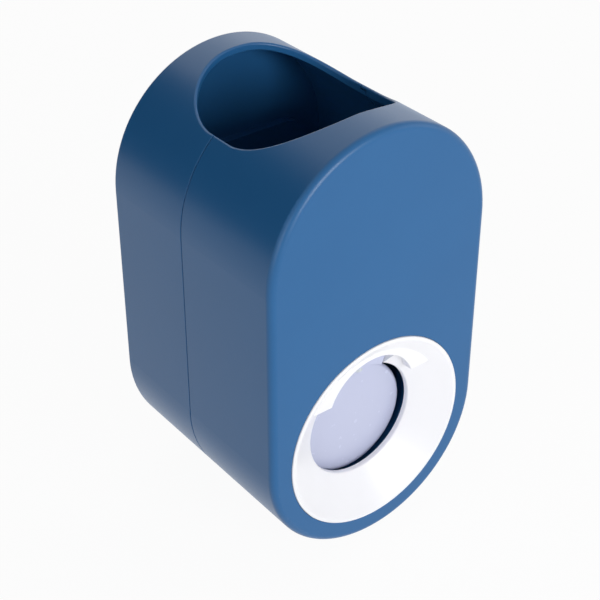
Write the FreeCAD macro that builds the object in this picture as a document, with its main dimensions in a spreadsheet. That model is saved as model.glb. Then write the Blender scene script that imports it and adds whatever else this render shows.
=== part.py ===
"""Wall-hung toothpaste dispenser with a push pump, built as a parametric document.

The capsule-shaped housing hangs on a hook plate that sticks to the wall. A paste tube stands neck down in a
soft socket inside the top mouth. A toothbrush pushed into the port moves the push plate and its piston, which
presses one dose out of the hood above the bristles.

Frame: X to the right, Y towards the wall, Z up, millimetres. The origin is the middle of the adhesive pad on
the wall plane. Depths are counted from the wall towards the front, so a depth is minus Y.
"""
import FreeCAD, Part
import enum
import math
import os

import Sketcher

# Driving sizes: name, millimetres or degrees, what it is
SIZES = [
    ("body_width", 79.0, "width of the housing, also the diameter of its round ends"),
    ("body_height", 142.0, "height of the housing over both round ends"),
    ("body_depth", 78.0, "depth of the housing from its back to its front face"),
    ("wall_gap", 0.5, "room between the wall and the back of the housing"),
    ("shell_wall", 2.4, "wall of both shells"),
    ("rear_depth", 35.5, "depth of the rear shell up to the parting line"),
    ("seam_gap", 0.25, "open line between the two shells"),
    ("seam_round", 0.2, "rounding of both shells' outer edges at the parting line"),
    ("front_round", 2.2, "rounding of the front edge"),
    ("back_round", 1.0, "rounding of the back edge"),
    ("lip_height", 2.5, "height of the locating lip on the rear shell"),
    ("lip_wall", 1.0, "thickness of the locating lip"),
    ("lip_clear", 0.3, "room round the locating lip"),
    ("tab_width", 10.0, "width of a guide tab of the front shell"),
    ("tab_wall", 1.6, "thickness of a guide tab"),
    ("tab_reach", 6.0, "reach of a guide tab past the parting line"),
    ("tab_root", 12.0, "length of a guide tab's root along the front shell"),
    ("tab_level", 14.0, "height of the lower guide tabs above the port axis"),
    ("tab_step", 36.0, "distance between the lower and the upper guide tabs"),
    ("mouth_margin", 13.2, "mouth's side inside the housing's side"),
    ("mouth_land", 11.3, "top of the housing in front of the mouth and behind it"),
    ("mouth_flat", 2.6, "half of the mouth's straight side"),
    ("mouth_shift", -0.8, "middle of the mouth in front of the inlet tower's axis"),
    ("rim_round", 0.6, "rounding of the mouth's outer edge"),
    ("rim_inner_round", 0.4, "rounding of the mouth's inner edge"),
    ("mouth_skirt", 10.0, "start of the mouth's cut above the upper arc's centre"),
    ("plate_rise", 44.0, "middle of the wall plate above the port axis"),
    ("plate_width", 54.0, "width of the wall plate"),
    ("plate_height", 44.0, "height of the wall plate"),
    ("plate_thick", 2.4, "thickness of the wall plate"),
    ("plate_corner", 6.0, "corner radius of the wall plate"),
    ("pad_width", 50.0, "width of the adhesive pad"),
    ("pad_height", 40.0, "height of the adhesive pad"),
    ("pad_thick", 1.0, "thickness of the adhesive pad"),
    ("pad_corner", 5.0, "corner radius of the adhesive pad"),
    ("hook_spacing", 28.0, "distance between the two hooks"),
    ("hook_width", 7.0, "width of a hook"),
    ("hook_arm", 2.5, "thickness of a hook's arm"),
    ("hook_lip", 6.0, "height of a hook's lip above its arm"),
    ("hook_thick", 2.0, "thickness of a hook's lip"),
    ("hook_rise", 6.0, "top of the hook arms above the middle of the plate"),
    ("plate_round", 0.6, "rounding of the plate's front edge"),
    ("hang_clear", 0.3, "room on both sides of the wall that hangs on the hooks"),
    ("slot_clear", 0.5, "room round a hook in its slot"),
    ("floor_wall", 2.2, "wall round the recess for the wall plate"),
    ("recess_clear", 1.0, "room round the wall plate in its recess"),
    ("lift_travel", 7.0, "lift that frees the housing from the hooks"),
    ("ring_outer_r", 32.5, "outer radius of the port ring"),
    ("ring_proud", 0.4, "height of the ring over the front face"),
    ("ring_land", 1.2, "width of the flat rim of the ring"),
    ("ring_rim", 1.4, "depth of the ring's rim in the front face"),
    ("ring_shelf", 2.4, "width of the shoulder that carries the rim"),
    ("ring_edge", 1.6, "wall of the ring at the port's edge"),
    ("ring_clear", 0.15, "room between the ring and the shell"),
    ("ring_round", 0.35, "rounding of the ring's rim"),
    ("port_round", 0.5, "rounding of the port's edge"),
    ("port_r", 19.4, "radius of the brush port"),
    ("port_depth", 7.8, "port's edge behind the front face"),
    ("brow_setback", 2.5, "front of the ring's brow behind the front face"),
    ("brow_arch_r", 16.5, "radius of the arch under the brow"),
    ("brow_level", 9.0, "middle of the brow's arch above the port axis"),
    ("brow_end", 14.8, "lower ends of the brow above the port axis"),
    ("brow_bury", 0.6, "brow inside the ring's wall"),
    ("brow_round", 0.4, "rounding of the brow's front edge"),
    ("dish_wall", 2.4, "wall of the shell's dish at the collar"),
    ("boss_margin", 1.5, "thick rim of the shell outside the ring"),
    ("collar_wall", 2.0, "wall of the port collar"),
    ("collar_length", 10.7, "length of the port collar behind the port's edge"),
    ("press_travel", 8.0, "travel of the push plate"),
    ("head_depth", 12.0, "face of the push plate behind the front face"),
    ("head_r", 19.5, "radius of the push plate"),
    ("head_drop", 2.2, "middle of the push plate below the port axis"),
    ("head_thick", 5.0, "thickness of the push plate"),
    ("head_round", 1.2, "rounding of the push plate's edge"),
    ("hood_r", 23.5, "outer radius of the outlet hood"),
    ("hood_angle", 50.0, "angle that the hood spans"),
    ("hood_clear", 0.4, "room round the hood in the ring's notch"),
    ("notch_angle", 52.0, "angle that the ring's notch spans"),
    ("hood_arch_r", 14.5, "radius of the arch under the hood"),
    ("duct_r", 1.1, "radius of the paste ducts in the push plate"),
    ("tip_r", 1.6, "radius of the outlet tip"),
    ("tip_bore_r", 0.9, "bore of the outlet tip"),
    ("tip_hang", 1.8, "outlet tip below the top of the arch"),
    ("tip_seat", 0.8, "outlet tip inside the hood"),
    ("tip_setback", 2.1, "outlet tip behind the hood's face"),
    ("socket_depth", 3.5, "stem's seat in the push plate"),
    ("stem_r", 5.0, "radius of the piston's stem"),
    ("stem_bore_r", 3.0, "paste bore of the stem"),
    ("bore_r", 7.0, "radius of the barrel's bore"),
    ("piston_clear", 0.1, "running clearance of the piston"),
    ("stem_clear", 0.08, "running clearance of the stem"),
    ("seal_clear", 0.05, "running clearance of the ring seals"),
    ("piston_length", 5.5, "length of the piston"),
    ("seal_wire", 1.24, "section of the piston's ring seal"),
    ("seal_setback", 1.8, "start of the seal groove behind the piston's front"),
    ("gland_wire", 1.16, "section of the stem's ring seal"),
    ("gland_setback", 1.1, "start of the gland groove from the bush's inner end"),
    ("groove_room", 0.16, "room along a ring seal in its groove"),
    ("valve_flange", 1.2, "thickness of both valves' flanges"),
    ("outlet_flange_r", 4.4, "flange radius of the outlet valve"),
    ("outlet_neck_r", 2.6, "neck radius of the outlet valve"),
    ("outlet_length", 5.0, "beak length of the outlet valve"),
    ("beak_wall", 0.8, "wall of both valves' beaks"),
    ("beak_tip_r", 0.9, "tip radius of both valves' beaks"),
    ("dead_gap", 1.0, "room left behind the piston when it is pressed"),
    ("end_wall", 2.5, "closed end of the barrel"),
    ("barrel_wall", 3.0, "wall of the barrel"),
    ("bush_spigot", 3.0, "barrel in front of the piston"),
    ("bush_flange", 1.1, "flange of the barrel's bush"),
    ("gasket_thick", 0.6, "flat gasket under the bush flange"),
    ("bracket_thick", 3.0, "thickness of the pump's bracket"),
    ("bracket_corner", 4.0, "corner radius of the pump's bracket"),
    ("rib_wall", 2.0, "wall of the ribs between barrel and bracket"),
    ("rib_reach", 20.0, "reach of the side ribs from the port axis"),
    ("rib_drop", 15.0, "reach of the lower rib from the port axis"),
    ("rib_rise", 9.0, "length of the ribs along the barrel"),
    ("post_x", 22.0, "posts to the side of the port axis"),
    ("post_z", 12.0, "posts above and below the port axis"),
    ("post_r", 3.6, "radius of a post"),
    ("screw_r", 1.3, "radius of a screw"),
    ("screw_clear", 0.2, "room round a screw in the bracket"),
    ("screw_bite", 8.0, "length of a screw in its post"),
    ("screw_head_r", 2.6, "radius of a screw's head"),
    ("screw_head", 1.8, "height of a screw's head"),
    ("pilot_room", 1.0, "pilot hole past the screw's end"),
    ("coil_r", 12.4, "middle radius of the return spring"),
    ("wire", 1.0, "wire of the return spring"),
    ("coil_turns", 4.0, "turns of the return spring"),
    ("seat_margin", 0.6, "spring seat outside the spring"),
    ("seat_thick", 2.0, "thickness of the spring seat"),
    ("tower_r", 7.5, "radius of the inlet tower"),
    ("tower_lead", 1.0, "spring seat in front of the inlet tower"),
    ("inlet_r", 3.5, "radius of the inlet"),
    ("cup_r", 11.5, "outer radius of the tower's cup"),
    ("cup_wall", 1.7, "wall of the cup"),
    ("cup_base", 17.0, "underside of the cup above the port axis"),
    ("cup_thick", 2.5, "floor of the cup"),
    ("cup_fit", 0.2, "room round the pieces in the cup"),
    ("inlet_flange_r", 6.0, "flange radius of the inlet valve"),
    ("inlet_neck_r", 3.0, "neck radius of the inlet valve"),
    ("inlet_beak", 5.5, "beak length of the inlet valve"),
    ("cage_thick", 2.8, "valve cage above the valve's flange"),
    ("throat_r", 4.0, "throat of the cage and of the socket"),
    ("throat_length", 3.5, "length of the socket's throat"),
    ("socket_flange", 2.2, "flange of the tube socket"),
    ("neck_bore_r", 6.0, "bore of the socket for the tube's neck"),
    ("neck_length", 13.0, "length of that bore"),
    ("socket_wall", 2.2, "wall of the tube socket"),
    ("clamp_room", 0.3, "cup's rim below the socket's flange, so that the collar clamps"),
    ("collar_skirt", 5.4, "skirt of the screw collar below the flange's top"),
    ("collar_top", 1.8, "top wall of the screw collar"),
    ("collar_side", 1.8, "side wall of the screw collar"),
    ("thread_clear", 0.1, "room in the collar's thread"),
    ("collar_bore", 0.2, "room round the socket in the collar"),
    ("grip_r", 0.7, "radius of a grip flute in the collar"),
    ("grip_count", 20.0, "number of grip flutes"),
]

# Sizes that follow from the driving ones: name, formula
FOLLOWS = [
    ("shell_r", "body_width / 2"),
    ("arch_rise", "body_height - body_width"),
    ("inner_r", "shell_r - shell_wall"),
    ("back_inner", "wall_gap + shell_wall"),
    ("seam", "wall_gap + rear_depth"),
    ("front_start", "seam + seam_gap"),
    ("front_plane", "wall_gap + body_depth"),
    ("front_inner", "front_plane - shell_wall"),
    ("rear_hollow", "rear_depth - shell_wall"),
    ("front_length", "front_plane - front_start"),
    ("front_hollow", "front_inner - front_start"),
    ("lip_outer", "inner_r + lip_wall"),
    ("groove_r", "lip_outer + lip_clear"),
    ("groove_length", "seam + lip_height + lip_clear - front_start"),
    ("tab_outer", "inner_r - lip_clear"),
    ("tab_inner", "tab_outer - tab_wall"),
    ("tab_bury", "inner_r + shell_wall / 4"),
    ("tab_tip", "seam - tab_reach"),
    ("tab_join", "seam + lip_height + 2 * lip_clear"),
    ("tab_end", "tab_join + tab_root"),
    ("tab_upper", "tab_level + tab_step"),
    ("tower_mid", "wall_gap + body_depth / 2"),
    ("mouth_mid", "tower_mid + mouth_shift"),
    ("mouth_half", "shell_r - mouth_margin"),
    ("mouth_reach", "body_depth / 2 - mouth_land"),
    ("mouth_corner", "min(mouth_half; mouth_reach) - mouth_flat"),
    ("mouth_near", "mouth_mid - mouth_reach"),
    ("mouth_far", "mouth_mid + mouth_reach"),
    ("mouth_level", "arch_rise + mouth_skirt"),
    ("plate_half", "plate_width / 2"),
    ("plate_half_height", "plate_height / 2"),
    ("plate_front", "pad_thick + plate_thick"),
    ("pad_half", "pad_width / 2"),
    ("pad_half_height", "pad_height / 2"),
    ("hook_inner", "hook_spacing / 2 - hook_width / 2"),
    ("hook_outer", "hook_spacing / 2 + hook_width / 2"),
    ("hook_under", "hook_rise - hook_arm"),
    ("hook_top", "hook_rise + hook_lip"),
    ("recess_floor", "plate_front + hang_clear"),
    ("recess_depth", "recess_floor - wall_gap"),
    ("floor_front", "recess_floor + floor_wall"),
    ("block_depth", "floor_front - wall_gap"),
    ("lip_back", "floor_front + hang_clear"),
    ("lip_front", "lip_back + hook_thick"),
    ("recess_half", "plate_half + recess_clear"),
    ("recess_low", "plate_rise - plate_half_height - lift_travel - recess_clear"),
    ("recess_high", "plate_rise + plate_half_height + recess_clear"),
    ("block_half", "recess_half + floor_wall"),
    ("block_low", "recess_low - floor_wall"),
    ("block_high", "recess_high + floor_wall"),
    ("recess_corner", "plate_corner + recess_clear"),
    ("block_corner", "recess_corner + floor_wall"),
    ("slot_inner", "hook_inner - slot_clear"),
    ("slot_outer", "hook_outer + slot_clear"),
    ("slot_high", "plate_rise + hook_rise"),
    ("slot_low", "slot_high - hook_arm - slot_clear - lift_travel"),
    ("port_edge", "front_plane - port_depth"),
    ("ring_back", "port_edge - ring_edge"),
    ("ring_top", "front_plane + ring_proud"),
    ("ring_seat", "front_plane - ring_rim"),
    ("ring_land_r", "ring_outer_r - ring_land"),
    ("ring_neck_r", "ring_outer_r - ring_shelf"),
    ("ring_slope", "(ring_top - port_edge) / (ring_land_r - port_r)"),
    ("brow_front", "front_plane - brow_setback"),
    ("brow_length", "brow_front - ring_back"),
    ("brow_r", "port_r + (brow_front - port_edge) / ring_slope + brow_bury"),
    ("brow_root", "port_edge - brow_bury"),
    ("brow_seat", "brow_root + ring_slope * (brow_r - port_r)"),
    ("ring_edge_r", "port_r + ring_edge"),
    ("seat_hole_r", "ring_outer_r + ring_clear"),
    ("neck_hole_r", "ring_neck_r + ring_clear"),
    ("boss_r", "ring_outer_r + boss_margin"),
    ("notch_r", "hood_r + hood_clear"),
    ("collar_r", "notch_r + hood_clear"),
    ("collar_outer", "collar_r + collar_wall"),
    ("dish_slope", "(ring_seat - ring_back) / (ring_neck_r - ring_edge_r)"),
    ("dish_edge", "ring_seat - dish_slope * (neck_hole_r - collar_r)"),
    ("dish_under", "dish_edge + dish_slope * collar_wall - dish_wall"),
    ("boss_back", "front_inner - dish_wall / 2"),
    ("collar_back", "port_edge - collar_length"),
    ("head_front", "front_plane - head_depth"),
    ("head_back", "head_front - head_thick"),
    ("hood_length", "port_edge - head_back"),
    ("arch_length", "port_edge - head_front + head_round"),
    ("arch_level", "port_r - hood_arch_r"),
    ("duct_depth", "head_back + head_thick / 2"),
    ("duct_rise", "(port_r + hood_r) / 2"),
    ("tip_depth", "port_edge - tip_setback"),
    ("duct_run", "tip_depth - duct_depth"),
    ("tip_low", "port_r - tip_hang"),
    ("tip_length", "tip_hang + tip_seat"),
    ("exit_length", "duct_rise - tip_low"),
    ("stem_end", "head_back + socket_depth"),
    ("piston_back", "tower_mid + inlet_r"),
    ("shoulder", "piston_back + piston_length"),
    ("piston_r", "bore_r - piston_clear"),
    ("seal_ring_r", "bore_r - seal_clear - seal_wire / 2"),
    ("seal_groove_r", "bore_r - seal_clear - seal_wire"),
    ("seal_groove_front", "shoulder - seal_setback"),
    ("seal_groove_back", "seal_groove_front - seal_wire - groove_room"),
    ("seal_mid", "(seal_groove_front + seal_groove_back) / 2"),
    ("valve_seat", "piston_back + valve_flange"),
    ("beak_front", "valve_seat + outlet_length"),
    ("outlet_hollow_r", "outlet_neck_r - beak_wall"),
    ("beak_hollow", "beak_front - beak_wall"),
    ("beak_hollow_r", "beak_tip_r / 3"),
    ("barrel_front", "shoulder + bush_spigot"),
    ("bush_seat", "barrel_front + gasket_thick"),
    ("bush_front", "bush_seat + bush_flange"),
    ("bush_bore_r", "stem_r + stem_clear"),
    ("gland_ring_r", "stem_r + seal_clear + gland_wire / 2"),
    ("gland_r", "stem_r + seal_clear + gland_wire"),
    ("gland_back", "shoulder + gland_setback"),
    ("gland_front", "gland_back + gland_wire + groove_room"),
    ("gland_mid", "(gland_back + gland_front) / 2"),
    ("bore_end", "piston_back - press_travel - dead_gap"),
    ("bore_length", "barrel_front - bore_end"),
    ("barrel_r", "bore_r + barrel_wall"),
    ("bracket_front", "bore_end - end_wall"),
    ("bracket_back", "bracket_front - bracket_thick"),
    ("barrel_length", "barrel_front - bracket_front"),
    ("rib_half", "rib_wall / 2"),
    ("bracket_half", "post_x + post_r + screw_clear"),
    ("bracket_half_height", "post_z + post_r + screw_clear"),
    ("post_length", "bracket_back - back_inner"),
    ("screw_end", "bracket_back - screw_bite"),
    ("pilot_end", "screw_end - pilot_room"),
    ("pilot_length", "bracket_back - pilot_end"),
    ("screw_length", "screw_bite + bracket_thick"),
    ("screw_hole_r", "screw_r + screw_clear"),
    ("seat_front", "tower_mid + tower_r + tower_lead"),
    ("seat_back", "seat_front - seat_thick"),
    ("seat_r", "coil_r + wire / 2 + seat_margin"),
    ("cup_inner_r", "cup_r - cup_wall"),
    ("cup_floor", "cup_base + cup_thick"),
    ("cup_content_r", "cup_inner_r - cup_fit"),
    ("flange_top", "cup_floor + valve_flange"),
    ("cage_top", "flange_top + cage_thick"),
    ("cage_lip_r", "inlet_flange_r + cup_fit"),
    ("beak_low", "cup_floor - inlet_beak"),
    ("inlet_hollow_r", "inlet_neck_r - beak_wall"),
    ("beak_floor", "beak_low + beak_wall"),
    ("throat_top", "cage_top + throat_length"),
    ("clamp_level", "cage_top + socket_flange"),
    ("cup_top", "clamp_level - clamp_room"),
    ("cup_height", "cup_top - cup_base"),
    ("cup_hollow", "cup_top - cup_floor"),
    ("socket_top", "throat_top + neck_length"),
    ("socket_r", "neck_bore_r + socket_wall"),
    ("mouth_bevel_r", "neck_bore_r + socket_wall / 3"),
    ("mouth_bevel", "socket_top - socket_wall / 3"),
    ("thread_r", "cup_r + thread_clear"),
    ("screw_collar_r", "thread_r + collar_side"),
    ("collar_low", "clamp_level - collar_skirt"),
    ("collar_high", "clamp_level + collar_top"),
    ("collar_hole_r", "socket_r + collar_bore"),
    ("collar_height", "collar_high - collar_low"),
    ("grip_place", "screw_collar_r + grip_r / 2"),
]

UP = FreeCAD.Vector(0, 0, 1)
NEAR = 1e-3
EDGE_SAMPLES = 5
SIDES = ("", "-")


class Spot(enum.IntEnum):
    """Sketcher's numbers for the points of a line or an arc."""

    START = enum.auto()
    END = enum.auto()
    CENTRE = enum.auto()


class Axis(enum.IntEnum):
    """Sketcher's numbers for the sketch axes; the origin is the start of the horizontal one."""

    ROOT = -1
    ACROSS = -1
    UPWARD = -2


doc = FreeCAD.newDocument("toothpaste_dispenser")
sheet = doc.addObject("Spreadsheet::Sheet", "sizes")


def fill_sheet():
    """Write every size into the sheet under its own alias."""
    rows = [(name, str(value), note) for name, value, note in SIZES]
    rows += [(name, "=" + text, "") for name, text in FOLLOWS]
    for row, (name, text, note) in enumerate(rows, start=1):
        sheet.set("A%d" % row, name)
        sheet.set("B%d" % row, text)
        sheet.setAlias("B%d" % row, name)
        sheet.set("C%d" % row, note)
    doc.recompute()


def value(name):
    """Number in a cell; a leading minus turns its sign and "0" is zero."""
    if name == "0":
        return 0.0
    if name.startswith("-"):
        return -float(sheet.get(name[1:]))
    return float(sheet.get(name))


def cell(name):
    """Formula text that binds a property to a cell."""
    if name.startswith("-"):
        return "-sizes." + name[1:]
    return "sizes." + name


def flat(x, y):
    """Sketch point from two cell names."""
    return FreeCAD.Vector(value(x), value(y), 0)


# Sketch helpers


def bind(sketch, constraint, name):
    """Add a constraint whose size is a cell."""
    index = sketch.addConstraint(constraint)
    sketch.setExpression("Constraints[%d]" % index, cell(name))


def tie_point(sketch, geo, end, x, y):
    """Hold one point of a sketch at two cells."""
    for kind, axis, name in (("DistanceX", Axis.UPWARD, x), ("DistanceY", Axis.ACROSS, y)):
        if name == "0":
            sketch.addConstraint(Sketcher.Constraint("PointOnObject", geo, end, axis))
        else:
            bind(sketch, Sketcher.Constraint(kind, Axis.ROOT, Spot.START, geo, end, value(name)), name)


def outline(sketch, points):
    """Closed outline of straight sides through points given by cell names."""
    first = sketch.GeometryCount
    count = len(points)
    for i in range(count):
        side = Part.LineSegment(flat(*points[i]), flat(*points[(i + 1) % count]))
        sketch.addGeometry(side, False)
    for i in range(count):
        after = first + (i + 1) % count
        sketch.addConstraint(Sketcher.Constraint("Coincident", first + i, Spot.END, after, Spot.START))
    for i in range(count):
        tie_point(sketch, first + i, Spot.START, *points[i])


def circle(sketch, x, y, radius):
    """Circle with its centre and radius at cells."""
    geo = sketch.addGeometry(Part.Circle(flat(x, y), UP, value(radius)), False)
    tie_point(sketch, geo, Spot.CENTRE, x, y)
    bind(sketch, Sketcher.Constraint("Radius", geo, value(radius)), radius)


def arc_edge(sketch, centre, radius, start, stop):
    """Add an arc from one angle to another, in radians."""
    return sketch.addGeometry(Part.ArcOfCircle(Part.Circle(centre, UP, radius), start, stop), False)


def stadium(sketch, radius, rise):
    """Capsule outline: a half circle round the origin, one above it, and two straight sides."""
    r = value(radius)
    top = flat("0", rise)
    low = arc_edge(sketch, FreeCAD.Vector(), r, math.pi, 2 * math.pi)
    right = sketch.addGeometry(Part.LineSegment(FreeCAD.Vector(r, 0, 0), FreeCAD.Vector(r, top.y, 0)), False)
    high = arc_edge(sketch, top, r, 0, math.pi)
    left = sketch.addGeometry(Part.LineSegment(FreeCAD.Vector(-r, top.y, 0), FreeCAD.Vector(-r, 0, 0)), False)
    for one, other in ((low, right), (right, high), (high, left), (left, low)):
        sketch.addConstraint(Sketcher.Constraint("Coincident", one, Spot.END, other, Spot.START))
    tie_point(sketch, low, Spot.CENTRE, "0", "0")
    tie_point(sketch, high, Spot.CENTRE, "0", rise)
    bind(sketch, Sketcher.Constraint("Radius", low, r), radius)
    sketch.addConstraint(Sketcher.Constraint("Equal", low, high))
    for end in (Spot.START, Spot.END):
        sketch.addConstraint(Sketcher.Constraint("PointOnObject", low, end, Axis.ACROSS))
        sketch.addConstraint(Sketcher.Constraint("Horizontal", high, Spot.CENTRE, high, end))


def rounded_box(sketch, x_low, x_high, y_low, y_high, radius):
    """Rectangle with round corners between four cells."""
    r = value(radius)
    corners = [(x_high, y_low, -1, 1), (x_high, y_high, -1, -1), (x_low, y_high, 1, -1), (x_low, y_low, 1, 1)]
    arcs = []
    for i, (x, y, dx, dy) in enumerate(corners):
        centre = flat(x, y) + FreeCAD.Vector(dx * r, dy * r, 0)
        arcs.append(arc_edge(sketch, centre, r, (i - 1) * math.pi / 2, i * math.pi / 2))
    lines = []
    for i, arc in enumerate(arcs):
        start = sketch.Geometry[arc].EndPoint
        stop = sketch.Geometry[arcs[(i + 1) % len(arcs)]].StartPoint
        lines.append(sketch.addGeometry(Part.LineSegment(start, stop), False))
    for i, line in enumerate(lines):
        after = arcs[(i + 1) % len(arcs)]
        sketch.addConstraint(Sketcher.Constraint("Tangent", arcs[i], Spot.END, line, Spot.START))
        sketch.addConstraint(Sketcher.Constraint("Tangent", line, Spot.END, after, Spot.START))
    for line, kind in zip(lines, ("Vertical", "Horizontal", "Vertical", "Horizontal")):
        sketch.addConstraint(Sketcher.Constraint(kind, line))
    bind(sketch, Sketcher.Constraint("Radius", arcs[0], r), radius)
    for arc in arcs[1:]:
        sketch.addConstraint(Sketcher.Constraint("Equal", arcs[0], arc))
    placed = zip(lines, ("DistanceX", "DistanceY", "DistanceX", "DistanceY"), (x_high, y_high, x_low, y_low))
    for line, kind, name in placed:
        bind(sketch, Sketcher.Constraint(kind, Axis.ROOT, Spot.START, line, Spot.START, value(name)), name)


def sector(sketch, radius, angle):
    """Slice of a disc round the origin, as wide to the left of the upward axis as to the right."""
    r = value(radius)
    half = math.radians(value(angle)) / 2
    arc = arc_edge(sketch, FreeCAD.Vector(), r, math.pi / 2 - half, math.pi / 2 + half)
    right, left = sketch.Geometry[arc].StartPoint, sketch.Geometry[arc].EndPoint
    out = sketch.addGeometry(Part.LineSegment(FreeCAD.Vector(), right), False)
    back = sketch.addGeometry(Part.LineSegment(left, FreeCAD.Vector()), False)
    sketch.addConstraint(Sketcher.Constraint("Coincident", out, Spot.START, Axis.ROOT, Spot.START))
    sketch.addConstraint(Sketcher.Constraint("Coincident", out, Spot.END, arc, Spot.START))
    sketch.addConstraint(Sketcher.Constraint("Coincident", arc, Spot.END, back, Spot.START))
    sketch.addConstraint(Sketcher.Constraint("Coincident", back, Spot.END, Axis.ROOT, Spot.START))
    sketch.addConstraint(Sketcher.Constraint("Coincident", arc, Spot.CENTRE, Axis.ROOT, Spot.START))
    bind(sketch, Sketcher.Constraint("Radius", arc, r), radius)
    sketch.addConstraint(Sketcher.Constraint("Symmetric", arc, Spot.START, arc, Spot.END, Axis.UPWARD))
    index = sketch.addConstraint(Sketcher.Constraint("Angle", out, Spot.START, back, Spot.END, 2 * half))
    sketch.setExpression("Constraints[%d]" % index, cell(angle) + " * 1 deg")


# Body helpers


def new_body(label, depth="0", level="plate_rise"):
    """Body whose own origin lies on the port axis, or as deep and as far below the plate as the cells say."""
    body = doc.addObject("PartDesign::Body", label)
    body.Label = label
    if depth != "0":
        body.setExpression("Placement.Base.y", "-" + cell(depth))
    if level != "0":
        body.setExpression("Placement.Base.z", "-" + cell(level))
    return body


def sketch_on(body, role, offset="0"):
    """Empty sketch on one of the body's own planes, or off it by a cell along the plane's normal."""
    plane = [item for item in body.Origin.OriginFeatures if item.Role == role][0]
    sketch = body.newObject("Sketcher::SketchObject", body.Label + "_sketch")
    sketch.AttachmentSupport = [(plane, "")]
    sketch.MapMode = "FlatFace"
    if offset != "0":
        sketch.setExpression("AttachmentOffset.Base.z", cell(offset))
    return sketch


def front_sketch(body, depth="0"):
    """Sketch that faces the front, at a depth from the wall: sketch x is X and sketch y is Z."""
    return sketch_on(body, "XZ_Plane", depth)


def plan_sketch(body, level="0"):
    """Sketch seen from above, at a height: sketch x is X and sketch y is Y."""
    return sketch_on(body, "XY_Plane", level)


def side_sketch(body, offset="0"):
    """Sketch seen from the right: sketch x is Y and sketch y is Z."""
    return sketch_on(body, "YZ_Plane", offset)


def pad(body, sketch, length):
    """Grow the sketch along its normal: to the front, up or to the right."""
    feature = body.newObject("PartDesign::Pad", body.Label + "_pad")
    feature.Profile = sketch
    feature.setExpression("Length", cell(length))
    doc.recompute()
    return feature


def cut(body, sketch, length):
    """Cut along the sketch's normal, the same way as a pad grows."""
    before = body.Tip.Shape.Volume
    feature = body.newObject("PartDesign::Pocket", body.Label + "_cut")
    feature.Profile = sketch
    feature.Reversed = True
    feature.setExpression("Length", cell(length))
    doc.recompute()
    require_less(body, feature, before)
    return feature


def turn(body, sketch, axis):
    """Revolve the sketch about one of its axes."""
    feature = body.newObject("PartDesign::Revolution", body.Label + "_turn")
    feature.Profile = sketch
    feature.ReferenceAxis = (sketch, [axis])
    feature.Angle = 360
    doc.recompute()
    return feature


def turn_out(body, sketch, axis):
    """Cut the revolved sketch out of the body."""
    before = body.Tip.Shape.Volume
    feature = body.newObject("PartDesign::Groove", body.Label + "_groove")
    feature.Profile = sketch
    feature.ReferenceAxis = (sketch, [axis])
    feature.Angle = 360
    doc.recompute()
    require_less(body, feature, before)
    return feature


def require_less(body, feature, before):
    """A cut that removed nothing is a fault of the model."""
    if not feature.Shape.Volume < before:
        raise RuntimeError("%s: a cut removed nothing" % body.Label)


def round_edges(body, radius, wanted):
    """Round the edges of the body for which wanted(edge) is true."""
    base = body.Tip
    names = ["Edge%d" % i for i, edge in enumerate(base.Shape.Edges, start=1) if wanted(edge)]
    if not names:
        raise RuntimeError("%s: no edge to round" % body.Label)
    feature = body.newObject("PartDesign::Fillet", body.Label + "_round")
    feature.Base = (base, names)
    feature.setExpression("Radius", cell(radius))
    doc.recompute()
    return feature


def at_depth(edge, depth):
    """True for an edge that lies wholly at one depth from the wall."""
    return max(abs(vertex.Y + value(depth)) for vertex in edge.Vertexes) < NEAR and flat_edge(edge)


def flat_edge(edge):
    """True for an edge whose middle is as deep as its ends."""
    middle = edge.valueAt((edge.FirstParameter + edge.LastParameter) / 2)
    return abs(middle.y - edge.Vertexes[0].Y) < NEAR


def span_x(inner, outer, side):
    """Low and high cell of a span on the right or on the left."""
    if side == "-":
        return "-" + outer, "-" + inner
    return inner, outer


def cut_mouth(body):
    """Cut the tube mouth straight down through the arch."""
    sketch = plan_sketch(body, "mouth_level")
    rounded_box(sketch, "-mouth_half", "mouth_half", "-mouth_far", "-mouth_near", "mouth_corner")
    cut(body, sketch, "shell_r")


def round_mouth(body):
    """Round the mouth's rim where it meets the outside and the inside of the arch."""
    for radius, rounding in (("shell_r", "rim_round"), ("inner_r", "rim_inner_round")):
        round_edges(body, rounding, lambda edge: on_rim(edge, radius))


def on_outside(edge, radius):
    """True for an edge that keeps one distance from the capsule's middle line."""
    for point in edge.discretize(EDGE_SAMPLES):
        nearest = min(max(point.z, 0.0), value("arch_rise"))
        if abs(math.hypot(point.x, point.z - nearest) - value(radius)) > NEAR:
            return False
    return True


def in_mouth(edge):
    """True for an edge that lies within the mouth's outline in plan."""
    wide, deep = value("mouth_half") + NEAR, value("mouth_reach") + NEAR
    points = edge.discretize(EDGE_SAMPLES)
    return all(abs(point.x) < wide and abs(point.y + value("mouth_mid")) < deep for point in points)


def on_rim(edge, radius):
    """True for an edge of the mouth on the arch's outside or inside."""
    return on_outside(edge, radius) and in_mouth(edge) and edge.BoundBox.ZMin > value("arch_rise")


# Wall mount


def make_adhesive_pad():
    body = new_body("adhesive_pad", level="0")
    sketch = front_sketch(body)
    rounded_box(sketch, "-pad_half", "pad_half", "-pad_half_height", "pad_half_height", "pad_corner")
    pad(body, sketch, "pad_thick")
    return body


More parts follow.
